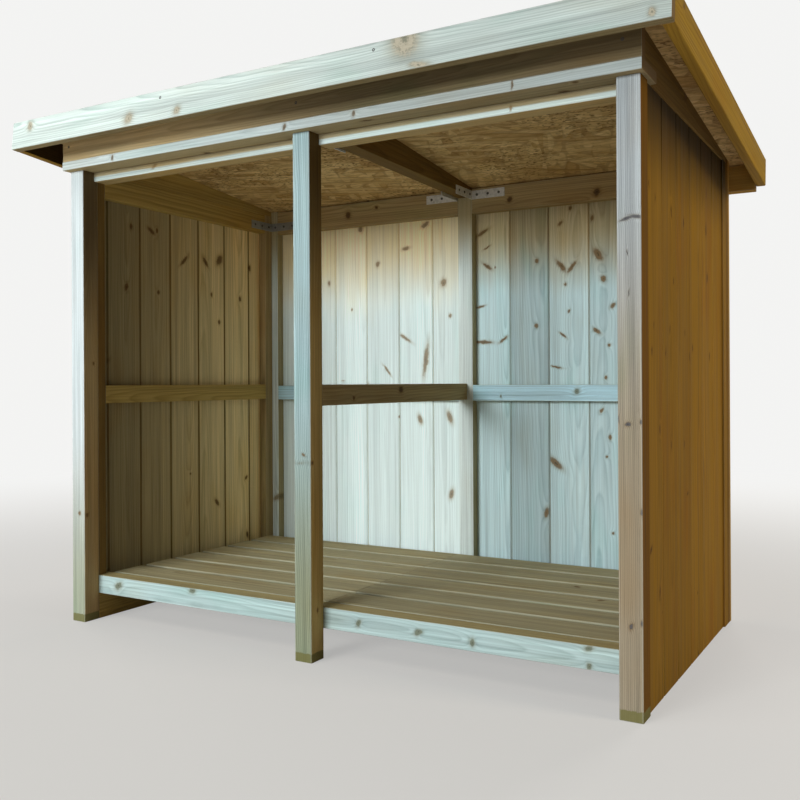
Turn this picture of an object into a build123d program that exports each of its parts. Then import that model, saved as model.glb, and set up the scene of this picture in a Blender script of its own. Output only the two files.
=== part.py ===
from build123d import *
import math
import os

# Front frame, all lengths in millimetres
frame_width = 1480.0
post_width = 45.0
post_depth = 47.0
post_height = 1160.0
centre_post_shift = -6.0
plate_thickness = 22.0
plate_proud = 20.0
plate_depth = 101.0
plate_overhang = 8.0
head_rail_height = 24.0
head_rail_depth = 45.0
head_rail_setback = 36.0
header_thickness = 22.0
header_reveal = 2.0
arris = 1.5

# Floor
floor_rail_clearance = 66.0
floor_rail_height = 47.0
floor_rail_depth = 47.0
floor_rail_gap = 5.0
slat_thickness = 19.0
slat_width = 95.0
slat_least_gap = 12.0
bearer_width = 45.0
bearer_inset = 60.0

# Side walls
side_recess = 5.0
top_rail_height = 60.0
mid_rail_height = 47.0
mid_rail_base = 560.0
board_thickness = 15.0
board_cover = 117.0
joint_width = 7.0
joint_depth = 3.5
side_frame_thickness = 25.0
side_stud_width = 25.0
side_rear_post_depth = 34.0
side_board_run = 696.0
left_board_offset = 55.0

# Back wall
back_frame_thickness = 28.0
back_mid_rail_height = 46.0
back_mid_rail_drop = 3.0
back_rail_gap = 3.0
back_stile_width = 69.0
back_stud_width = 45.0
back_stud_shift = 12.5
left_back_board = 45.0
board_tongue = 12.0

# Divider between the bays
divider_thickness = 28.0
centre_firring_drop = 12.0

# Roof
roof_slope = 5.75
roof_shift = -6.0
firring_tail = 14.0
roof_front_reach = 107.0
roof_side_reach = 87.0
roof_rear_overhang = 49.0
edge_board_height = 70.0
edge_board_thickness = 22.0
deck_underside = 56.0
deck_thickness = 11.0
felt_thickness = 2.0
back_board_drop = 14.0

# Angle brackets
bracket_leg = 103.0
bracket_height = 25.0
bracket_thickness = 2.0
bracket_hole = 5.0
bracket_holes_per_leg = 3
front_bracket_drop = 6.0
centre_bracket_drop = 20.0
corner_bracket_drop = 50.0

# Derived positions, x from the left outer face and y from the front of the posts
slope = math.radians(roof_slope)
wall_depth = post_depth + side_board_run + side_rear_post_depth
back_board_face = wall_depth + back_frame_thickness
back_outer_face = back_board_face + board_thickness
side_frame_start = side_recess + board_thickness
side_frame_end = side_frame_start + side_frame_thickness
centre_post_start = (frame_width - post_width) / 2.0 + centre_post_shift
centre_post_end = centre_post_start + post_width
stud_start = (frame_width - back_stud_width) / 2.0 + back_stud_shift
stud_end = stud_start + back_stud_width
back_split = (stud_start + stud_end) / 2.0
stud_top = post_height - centre_firring_drop
plate_back = plate_depth - plate_proud
plate_top = post_height + plate_thickness
header_front = header_reveal - plate_proud
header_back = header_front + header_thickness
head_rail_base = post_height - head_rail_height
floor_top = floor_rail_clearance + floor_rail_height
slat_start = post_depth + floor_rail_depth + floor_rail_gap
slat_run = wall_depth - slat_start
slats_per_bay = int(slat_run / (slat_width + slat_least_gap))
roof_length = (roof_front_reach + back_outer_face + roof_rear_overhang) / math.cos(slope)
roof_back_reach = (
    roof_length * math.cos(slope)
    + edge_board_height * math.sin(slope)
    - roof_front_reach
)
roof_base_height = (
    post_height
    + firring_tail
    + (wall_depth + roof_front_reach) * math.tan(slope)
    - deck_underside / math.cos(slope)
)
depth_shift = (roof_back_reach - roof_front_reach) / 2.0
width_shift = frame_width / 2.0 + roof_shift


def centred(shape):
    """Moves a shape from the working corner to the part's own centre."""
    return shape.moved(Location((-width_shift, -depth_shift, 0.0)))


def block(x_range, y_range, z_range):
    size = [high - low for low, high in (x_range, y_range, z_range)]
    solid = Box(*size, align=(Align.MIN, Align.MIN, Align.MIN))
    corner = (x_range[0], y_range[0], z_range[0])
    return solid.moved(Location(corner))


def planed(x_range, y_range, z_range):
    """A block with its four long edges eased."""
    solid = block(x_range, y_range, z_range)
    sizes = [high - low for low, high in (x_range, y_range, z_range)]
    long_axis = (Axis.X, Axis.Y, Axis.Z)[sizes.index(max(sizes))]
    return chamfer(solid.edges().filter_by(long_axis), arris)


def deck_height(y):
    """Height of the underside of the roof deck above a given depth."""
    return (
        roof_base_height
        + deck_underside / math.cos(slope)
        - (y + roof_front_reach) * math.tan(slope)
    )


def side_profile(x_range, points):
    """Extrudes a closed outline of depth and height across the width."""
    face = make_face(Polyline(*[(0.0, y, z) for y, z in points], close=True))
    width = x_range[1] - x_range[0]
    solid = extrude(face, amount=width, dir=(1.0, 0.0, 0.0))
    return solid.moved(Location((x_range[0], 0.0, 0.0)))


def under_deck(x_range, y_range, base, gap=0.0):
    """A piece with a level foot whose top is cut to the slope of the roof."""
    front, back = y_range
    points = [
        (front, base),
        (back, base),
        (back, deck_height(back) - gap),
        (front, deck_height(front) - gap),
    ]
    return side_profile(x_range, points)


def firring(x_range, foot):
    """A tapered bearer, notched over the top plate and cut to the slope of the roof."""
    back = foot[-1][0]
    points = [
        (header_back, plate_top),
        (plate_back, plate_top),
        (plate_back, post_height),
        *foot,
        (back, deck_height(back)),
        (header_back, deck_height(header_back)),
    ]
    return side_profile(x_range, points)


def on_the_slope(flat):
    """Tilts a level piece of the roof and lifts it to the front lower edge."""
    tilted = flat.rotate(Axis.X, -roof_slope)
    return tilted.moved(Location((0.0, -roof_front_reach, roof_base_height)))


def roof_sheet(x_range, along, across):
    return on_the_slope(block(x_range, along, across))


def roof_edge_board(x_range, along, across):
    return on_the_slope(planed(x_range, along, across))


def mirrored_range(x_range):
    return (frame_width - x_range[1], frame_width - x_range[0])


def boarded_outline(start, end, first_seam):
    """Outline of a row of boards with a V joint on both faces at each seam."""
    seams = []
    seam = first_seam
    while seam < end - joint_width:
        if seam > start + joint_width:
            seams.append(seam)
        seam += board_cover
    half = joint_width / 2.0
    outer = [(start, 0.0)]
    for seam in seams:
        outer += [(seam - half, 0.0), (seam, joint_depth), (seam + half, 0.0)]
    outer.append((end, 0.0))
    inner = [(along, board_thickness - inward) for along, inward in reversed(outer)]
    return outer + inner


def side_boards(outline, left):
    """Boards of a side wall, with the sloping cut left to the firring."""
    if left:
        points = [(side_recess + inward, along, 0.0) for along, inward in outline]
    else:
        outer = frame_width - side_recess
        points = [(outer - inward, along, 0.0) for along, inward in outline]
    face = make_face(Polyline(*points, close=True))
    return extrude(face, amount=post_height, dir=(0.0, 0.0, 1.0))


def back_boards(start, end, first_seam):
    outline = boarded_outline(start, end, first_seam)
    points = [(along, back_board_face + inward, 0.0) for along, inward in outline]
    face = make_face(Polyline(*points, close=True))
    tall = extrude(face, amount=deck_height(wall_depth), dir=(0.0, 0.0, 1.0))
    below = under_deck((start, end), (back_board_face, back_outer_face), 0.0)
    return tall & below


def bracket_leg_plate(x_range, y_range, base):
    """One leg of an angle bracket, pierced by its row of screw holes."""
    leg = block(x_range, y_range, (base, base + bracket_height))
    runs_in_x = x_range[1] - x_range[0] > y_range[1] - y_range[0]
    low, high = x_range if runs_in_x else y_range
    pitch = (high - low) / bracket_holes_per_leg
    for index in range(bracket_holes_per_leg):
        along = low + pitch * (index + 0.5)
        drill = Cylinder(bracket_hole / 2.0, bracket_thickness * 4.0)
        if runs_in_x:
            drill = drill.rotate(Axis.X, 90.0)
            spot = (along, (y_range[0] + y_range[1]) / 2.0, base + bracket_height / 2.0)
        else:
            drill = drill.rotate(Axis.Y, 90.0)
            spot = ((x_range[0] + x_range[1]) / 2.0, along, base + bracket_height / 2.0)
        leg = leg - drill.moved(Location(spot))
    return leg


def angle_bracket(corner_x, corner_y, x_side, y_side, base):
    """Two pierced legs from one corner, towards x_side and towards y_side."""
    x_range = sorted((corner_x, corner_x + x_side * bracket_leg))
    x_plate = sorted((corner_y, corner_y + y_side * bracket_thickness))
    y_range = sorted((corner_y, corner_y + y_side * bracket_leg))
    y_plate = sorted((corner_x, corner_x + x_side * bracket_thickness))
    along_x = bracket_leg_plate(x_range, x_plate, base)
    along_y = bracket_leg_plate(y_plate, y_range, base)
    return along_x + along_y


def front_frame():
    parts = {}
    post_depths = (0.0, post_depth)
    full = (0.0, post_height)
    parts["front_post_left"] = planed((0.0, post_width), post_depths, full)
    parts["front_post_centre"] = planed(
        (centre_post_start, centre_post_end), post_depths, full
    )
    parts["front_post_right"] = planed(
        (frame_width - post_width, frame_width), post_depths, full
    )
    across = (-plate_overhang, frame_width + plate_overhang)
    parts["front_top_plate"] = planed(
        across, (-plate_proud, plate_back), (post_height, plate_top)
    )
    parts["front_header_board"] = under_deck(
        across, (header_front, header_back), plate_top
    )
    rail_depths = (head_rail_setback, head_rail_setback + head_rail_depth)
    rail_heights = (head_rail_base, post_height)
    left_bay = (post_width, centre_post_start)
    right_bay = (centre_post_end, frame_width - post_width)
    parts["front_head_rails"] = [
        planed(bay, rail_depths, rail_heights) for bay in (left_bay, right_bay)
    ]
    return parts


def floor():
    parts = {}
    middle = (centre_post_start + centre_post_end) / 2.0
    front = post_depth
    rail = (front, front + floor_rail_depth)
    heights = (floor_rail_clearance, floor_top)
    left = (side_frame_start, middle)
    right = (middle, frame_width - side_frame_start)
    parts["floor_front_rail_left"] = planed(left, rail, heights)
    parts["floor_front_rail_right"] = planed(right, rail, heights)
    left = (side_frame_end, middle)
    right = (middle, frame_width - side_frame_end)
    slat_heights = (floor_top - slat_thickness, floor_top)
    bearer_heights = (floor_rail_clearance, floor_top - slat_thickness)
    pitch = slat_run / slats_per_bay
    bays = {"left": left, "right": right}
    bearers = []
    for side, (low, high) in bays.items():
        slats = []
        for index in range(slats_per_bay):
            start = slat_start + pitch * index
            slats.append(planed((low, high), (start, start + slat_width), slat_heights))
        parts[f"floor_slats_{side}"] = slats
        for start in (low + bearer_inset, high - bearer_inset - bearer_width):
            span = (start, start + bearer_width)
            bearers.append(block(span, (rail[1], back_board_face), bearer_heights))
    parts["floor_bearers"] = bearers
    return parts


def side_wall(side):
    parts = {}
    left = side == "left"

    def place(x_range):
        return x_range if left else mirrored_range(x_range)

    inside = place((side_frame_start, side_frame_end))
    end = post_depth + side_board_run
    first_seam = post_depth + (left_board_offset if left else board_cover)
    outline = boarded_outline(post_depth, end, first_seam)
    parts[f"{side}_wall_boards"] = side_boards(outline, left)
    rear = (end, wall_depth)
    parts[f"{side}_wall_rear_post"] = block(
        place((0.0, side_frame_end)), rear, (0.0, post_height)
    )
    stud = (post_depth, post_depth + side_stud_width)
    top_base = post_height - top_rail_height
    parts[f"{side}_wall_front_stud"] = planed(inside, stud, (floor_top, post_height))
    parts[f"{side}_wall_top_rail"] = planed(
        inside, (stud[1], end), (top_base, post_height)
    )
    parts[f"{side}_wall_mid_rail"] = planed(
        inside, (stud[1], end), (mid_rail_base, mid_rail_base + mid_rail_height)
    )
    parts[f"{side}_wall_bottom_rail"] = block(
        inside, (post_depth, end), (0.0, floor_rail_clearance)
    )
    foot = [(wall_depth, post_height)]
    parts[f"{side}_firring"] = firring(place((0.0, side_frame_end)), foot)
    return parts


def back_wall():
    parts = {}
    frame = (wall_depth, back_board_face)
    outer_left = (0.0, back_split)
    outer_right = (back_split, frame_width)
    right_seam = back_split + board_tongue
    parts["back_wall_boards_left"] = back_boards(*outer_left, left_back_board)
    parts["back_wall_boards_right"] = back_boards(*outer_right, right_seam)
    left_stile = (0.0, back_stile_width)
    right_stile = mirrored_range(left_stile)
    parts["back_wall_stile_left"] = under_deck(left_stile, frame, 0.0)
    parts["back_wall_stile_right"] = under_deck(right_stile, frame, 0.0)
    parts["back_wall_centre_stud"] = block(
        (stud_start, stud_end), frame, (0.0, stud_top)
    )
    bays = {
        "left": (back_stile_width, stud_start),
        "right": (stud_end, frame_width - back_stile_width),
    }
    mid_base = mid_rail_base - back_mid_rail_drop
    mid_heights = (mid_base, mid_base + back_mid_rail_height)
    low_heights = (0.0, floor_rail_clearance)
    top_base = post_height - top_rail_height
    for side, span in bays.items():
        parts[f"back_wall_top_rail_{side}"] = under_deck(
            span, frame, top_base, back_rail_gap
        )
    spans = bays.values()
    parts["back_wall_mid_rails"] = [planed(span, frame, mid_heights) for span in spans]
    parts["back_wall_bottom_rails"] = [block(span, frame, low_heights) for span in spans]
    return parts


def divider():
    span = (centre_post_end - divider_thickness, centre_post_end)
    heights = (mid_rail_base, mid_rail_base + mid_rail_height)
    foot = [(wall_depth, stud_top), (back_board_face, stud_top)]
    return {
        "divider_mid_rail": planed(span, (post_depth, wall_depth), heights),
        "centre_firring": firring((stud_start, stud_end), foot),
    }


def roof():
    parts = {}
    across = (roof_shift - roof_side_reach, roof_shift + frame_width + roof_side_reach)
    left_edge = (across[0], across[0] + edge_board_thickness)
    right_edge = (across[1] - edge_board_thickness, across[1])
    between = (left_edge[1], right_edge[0])
    behind_fascia = (edge_board_thickness, roof_length)
    tall = (0.0, edge_board_height)
    deck_top = deck_underside + deck_thickness
    felt_top = deck_top + felt_thickness
    fascia_depths = (0.0, edge_board_thickness)
    parts["roof_deck"] = roof_sheet(between, behind_fascia, (deck_underside, deck_top))
    parts["roof_felt"] = roof_sheet(between, behind_fascia, (deck_top, felt_top))
    parts["roof_fascia_front"] = roof_edge_board(across, fascia_depths, tall)
    parts["roof_bargeboard_left"] = roof_edge_board(left_edge, behind_fascia, tall)
    parts["roof_bargeboard_right"] = roof_edge_board(right_edge, behind_fascia, tall)
    parts["roof_back_board"] = roof_edge_board(
        between,
        (roof_length - edge_board_thickness, roof_length),
        (-back_board_drop, deck_underside),
    )
    return parts


def brackets():
    corner_base = post_height - corner_bracket_drop
    centre_base = post_height - centre_bracket_drop
    front_base = post_height - front_bracket_drop
    right_inside = frame_width - side_frame_end
    return {
        "angle_brackets_corner": [
            angle_bracket(side_frame_end, wall_depth, 1.0, -1.0, corner_base),
            angle_bracket(right_inside, wall_depth, -1.0, -1.0, corner_base),
        ],
        "angle_brackets_centre": [
            angle_bracket(stud_start, wall_depth, -1.0, -1.0, centre_base),
            angle_bracket(stud_end, wall_depth, 1.0, -1.0, centre_base),
        ],
        "angle_bracket_front": [
            angle_bracket(stud_start, plate_back, -1.0, 1.0, front_base),
        ],
    }


def build():
    parts = {}
    parts.update(front_frame())
    parts.update(floor())
    parts.update(side_wall("left"))
    parts.update(side_wall("right"))
    parts.update(back_wall())
    parts.update(divider())
    parts.update(roof())
    parts.update(brackets())
    return parts


def main():
    os.makedirs("parts", exist_ok=True)
    for name, shape in build().items():
        if isinstance(shape, list):
            shape = Compound([solid for piece in shape for solid in piece.solids()])
        export_step(centred(shape), f"parts/{name}.step")


main()
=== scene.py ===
import math
import random

import bmesh
import bpy
from mathutils import Matrix, Vector


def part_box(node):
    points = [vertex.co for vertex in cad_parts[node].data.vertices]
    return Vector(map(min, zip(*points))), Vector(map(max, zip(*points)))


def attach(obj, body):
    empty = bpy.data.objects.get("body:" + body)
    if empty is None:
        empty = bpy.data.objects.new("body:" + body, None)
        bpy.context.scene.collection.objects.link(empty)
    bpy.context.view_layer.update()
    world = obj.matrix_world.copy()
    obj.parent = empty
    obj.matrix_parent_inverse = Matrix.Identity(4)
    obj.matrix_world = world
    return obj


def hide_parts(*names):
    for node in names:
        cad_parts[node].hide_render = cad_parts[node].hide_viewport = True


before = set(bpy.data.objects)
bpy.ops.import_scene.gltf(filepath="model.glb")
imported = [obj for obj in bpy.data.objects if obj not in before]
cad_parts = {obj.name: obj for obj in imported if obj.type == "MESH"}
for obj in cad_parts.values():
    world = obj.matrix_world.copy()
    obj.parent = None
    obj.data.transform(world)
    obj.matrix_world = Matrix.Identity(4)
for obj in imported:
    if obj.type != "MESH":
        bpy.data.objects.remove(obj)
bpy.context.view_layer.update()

# Boarding, in metres
BOARD_COVER = 0.117
BOARD_THICKNESS = 0.015
JOINT_HALF = 0.0035
JOINT_DEPTH = 0.0035
TONGUE_LENGTH = 0.006
GROOVE_LENGTH = 0.007
TONGUE_HALF = 0.0025
GROOVE_SLACK = 0.0003
LEAST_GAP = 0.0003
MOST_GAP = 0.0008
FIRST_SEAMS = {
    "left_wall_boards": 0.055,
    "right_wall_boards": 0.117,
    "back_wall_boards_left": 0.045,
    "back_wall_boards_right": 0.012,
}

# Roof
SLOPE = math.radians(5.75)
FELT_LAP = 0.075
FELT_THICKNESS = 0.002
FELT_INSET = 0.001
FELT_NAIL_STEP = 0.1
FASCIA_THICKNESS = 0.022

# Screws and nails: radius and height of the head, and depth of the drive
PAN_HEAD = (0.0038, 0.0016, 0.0012)
SUNK_HEAD = (0.0034, 0.0005, 0.0014)
NAIL_HEAD = (0.0026, 0.0006, 0.0)
HEAD_SIDES = 12
HEAD_SINK = 0.0002
STEEL_THICKNESS = 0.002
LEG_SHARES = (1.0 / 6.0, 1.0 / 2.0, 5.0 / 6.0)
BRACKET_LEGS = {
    "angle_brackets_corner": ((1.0, -1.0), (-1.0, -1.0)),
    "angle_brackets_centre": ((-1.0, -1.0), (1.0, -1.0)),
    "angle_bracket_front": ((-1.0, 1.0),),
}
FASCIA_SCREWS = ((-0.317, 1.259), (0.251, 1.261))
HEADER_SCREWS = ((-0.720, 1.219), (0.001, 1.219), (0.719, 1.219))
NAIL_PAIR = 0.032

# Meshes
EDGE_EASE = 0.0012
STATION = 0.045
WELD = 0.000005
FLAT = math.radians(0.4)
SHARP = math.radians(30.0)

# Camera: place in metres, angles, and lens, sensor and shift as the camera takes them
CAMERA_PLACE = (1.19148, -2.01059, 0.60976)
CAMERA_YAW = math.radians(30.1185)
CAMERA_PITCH = math.radians(-0.046)
CAMERA_ROLL = math.radians(-0.2938)
CAMERA_LENS = 41.246
CAMERA_SENSOR = 36.0
CAMERA_SHIFT = -0.02225

# Lamps: place, what it points at, width and height, watts, and colour
MIDDLE = (0.0, 0.0, 0.8)
LAMPS = {
    "front_window": ((-2.2, -10.0, 3.0), MIDDLE, (4.0, 3.0), 820.0, (0.95, 0.99, 1.0)),
    "high_window": ((-1.2, -2.4, 3.1), (-1.2, -1.4, 0.0), (2.5, 1.5), 36.0, (1.0, 0.97, 0.92)),
    "side_window": ((5.2, 0.0, 3.5), MIDDLE, (1.2, 1.2), 108.0, (1.0, 0.92, 0.78)),
    "rear_window": ((0.6, 5.5, 2.6), MIDDLE, (4.0, 2.0), 260.0, (1.0, 0.99, 0.97)),
    "left_window": ((-5.2, 1.2, 2.2), MIDDLE, (2.0, 2.0), 70.0, (1.0, 0.99, 0.97)),
}

# Surroundings
ROOM_STRENGTH = 0.06
ROOM_COLOUR = (1.0, 0.96, 0.88, 1.0)
BACKDROP = (0.90, 0.90, 0.89, 1.0)
FLOOR_COLOUR = (0.55, 0.53, 0.50, 1.0)
FLOOR_RADIUS = 30.0
FLOOR_GLOW = 0.45
GLOW_REACH = (1.0, 4.5)

# Wood: the cell that holds a scattered knot, the distance that stands for no knot, the uneven
# outline of knots, the spread of the seeds, and how high a post's foot is soaked
KNOT_CELL = (0.105, 0.21)
NO_KNOT = 20.0
KNOT_SHAKE = 0.007
SEED_REACH = 40.0
SOAKED_FOOT = 0.020
MM = 0.001

ACROSS = Vector((1.0, 0.0, 0.0))
BACK = Vector((0.0, 1.0, 0.0))
UP = Vector((0.0, 0.0, 1.0))
DOWNSLOPE = Vector((0.0, math.cos(SLOPE), -math.sin(SLOPE)))
OFF_ROOF = Vector((0.0, math.sin(SLOPE), math.cos(SLOPE)))

SIDES = ("left", "right")
CORNER_LOOKS = {"left": ("brown_frame", "pale_stud"), "right": ("golden_wall", "outer_stile")}

dice = random.Random(7)


class Graph:
    """A node tree, with short ways to add sums, textures and shaders."""

    def __init__(self, owner, output):
        owner.use_nodes = True
        self.owner = owner
        self.tree = owner.node_tree
        self.tree.nodes.clear()
        self.surface = self.add(output).inputs["Surface"]

    def feed(self, socket, value):
        if isinstance(value, bpy.types.NodeSocket):
            self.tree.links.new(value, socket)
        else:
            socket.default_value = value

    def add(self, kind, *values, named=None, **settings):
        """A node with its settings, and its sockets fed in order or by name."""
        node = self.tree.nodes.new(kind)
        for key, value in settings.items():
            setattr(node, key, value)
        for socket, value in zip(node.inputs, values):
            self.feed(socket, value)
        for key, value in (named or {}).items():
            self.feed(node.inputs[key], value)
        return node

    def sum(self, operation, *values, clamp=False):
        return self.add("ShaderNodeMath", *values, operation=operation, use_clamp=clamp).outputs[0]

    def times(self, first, *others):
        for other in others:
            first = self.sum("MULTIPLY", first, other)
        return first

    def plus(self, first, *others):
        for other in others:
            first = self.sum("ADD", first, other)
        return first

    def minus(self, first, second):
        return self.sum("SUBTRACT", first, second)

    def swing(self, value, amount):
        """A value from 0 to 1 turned into a change either way, the amount from end to end."""
        return self.times(self.minus(value, 0.5), amount)

    def vector(self, operation, *values):
        node = self.add("ShaderNodeVectorMath", *values, operation=operation)
        return node.outputs["Value" if operation == "LENGTH" else "Vector"]

    def length(self, first, second):
        squares = self.plus(self.times(first, first), self.times(second, second))
        return self.sum("SQRT", squares)

    def split(self, vector):
        return self.add("ShaderNodeSeparateXYZ", vector).outputs

    def join(self, x, y, z):
        return self.add("ShaderNodeCombineXYZ", x, y, z).outputs[0]

    def span(self, value, low, high, new_low=0.0, new_high=1.0, smooth=True):
        kind = "SMOOTHSTEP" if smooth else "LINEAR"
        values = (value, low, high, new_low, new_high)
        return self.add("ShaderNodeMapRange", *values, interpolation_type=kind).outputs[0]

    def blend(self, share, first, second, how="MIX"):
        sockets = {0: share, 6: first, 7: second}
        node = self.add("ShaderNodeMix", named=sockets, data_type="RGBA", blend_type=how)
        return node.outputs[2]

    def object_place(self):
        return self.add("ShaderNodeTexCoord").outputs["Object"]

    def mark(self, name, output="Fac"):
        return self.add("ShaderNodeAttribute", attribute_name=name).outputs[output]

    def noise(self, vector, scale=1.0, detail=2.0, rough=0.5, output="Fac"):
        sockets = {"Vector": vector, "Scale": scale, "Detail": detail, "Roughness": rough}
        return self.add("ShaderNodeTexNoise", named=sockets).outputs[output]

    def random(self, value):
        node = self.add("ShaderNodeTexWhiteNoise", named={"W": value}, noise_dimensions="1D")
        return self.split(node.outputs["Color"])

    def cells(self, vector, scale=1.0, flat=False, randomness=1.0):
        sockets = {"Vector": vector, "Scale": scale, "Randomness": randomness}
        kind = "2D" if flat else "3D"
        return self.add("ShaderNodeTexVoronoi", named=sockets, voronoi_dimensions=kind)

    def seen(self):
        """One where the camera looks straight or by a reflection, and none for other light."""
        path = self.add("ShaderNodeLightPath")
        return self.sum("MAXIMUM", path.outputs["Is Camera Ray"], path.outputs["Is Glossy Ray"])

    def source(self, kind, colour, **others):
        """A plain shader of one colour."""
        return self.add(kind, named={"Color": colour, **others}).outputs[0]

    def show_mixed(self, share, first, second):
        self.feed(self.surface, self.add("ShaderNodeMixShader", share, first, second).outputs[0])

    def finish(self, colour, rough, height, relief, strength, metal=0.0, gloss=0.5):
        """Shows a surface of this colour, with the height as a fine relief in metres."""
        sockets = {"Strength": strength, "Distance": relief, "Height": height}
        bump = self.add("ShaderNodeBump", named=sockets)
        shader = self.add("ShaderNodeBsdfPrincipled", named={
            "Base Color": colour,
            "Roughness": rough,
            "Metallic": metal,
            "Specular IOR Level": gloss,
            "Normal": bump.outputs[0],
        })
        self.feed(self.surface, shader.outputs[0])
        return self.owner


def surface_graph(name):
    return Graph(bpy.data.materials.new(name), "ShaderNodeOutputMaterial")


def rgb(red, green, blue):
    """A colour given as the screen shows it, turned into light values."""
    def light(level):
        share = level / 255.0
        return share / 12.92 if share <= 0.04045 else ((share + 0.055) / 1.055) ** 2.4
    return (light(red), light(green), light(blue), 1.0)


# Looks of the timber. Each pair is spring wood and summer wood: front for the faces towards
# the open side, side for all others. Where the front pair is paler and cooler than the side
# pair, the two are lit and shaded copies of one wood: painted cool light on the front faces,
# painted warm side light and shade on the others. A tint is (from height, to height, spring,
# summer); on the walls, the head rail and the pale timber it is painted shade under the roof
# and the plate. A painted side shade has one colour and darkens the sides towards their tops.
# A painted falloff is (axis, from place, to place, tone there): painted light that falls off
# along that axis. Right is for the faces towards the right and takes the falloff to itself,
# grain is the strength of the streaks, and a knot is its heart, its rim and how much of them
# shows.
GOLDEN_BOARD = {
    "front": (rgb(176, 142, 76), rgb(138, 104, 46)),
    "side": (rgb(158, 124, 46), rgb(112, 82, 20)),
    "ring": 0.0042, "contrast": 0.6,
}
GREEN_RAIL = {
    "side": (rgb(174, 160, 116), rgb(132, 116, 74)),
    "knot": (rgb(112, 118, 98), rgb(66, 70, 56), 0.75),
    "ring": 0.0042,
}
PALE_TIMBER = {
    "front": (rgb(218, 230, 228), rgb(168, 184, 180)),
    "side": (rgb(178, 168, 132), rgb(134, 122, 84)),
    # Painted shade under the roof: the wood turns tan towards the top.
    "tint": (0.92, 1.10, rgb(188, 178, 144), rgb(148, 136, 98)),
    "ring": 0.0044, "contrast": 0.65,
}
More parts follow.
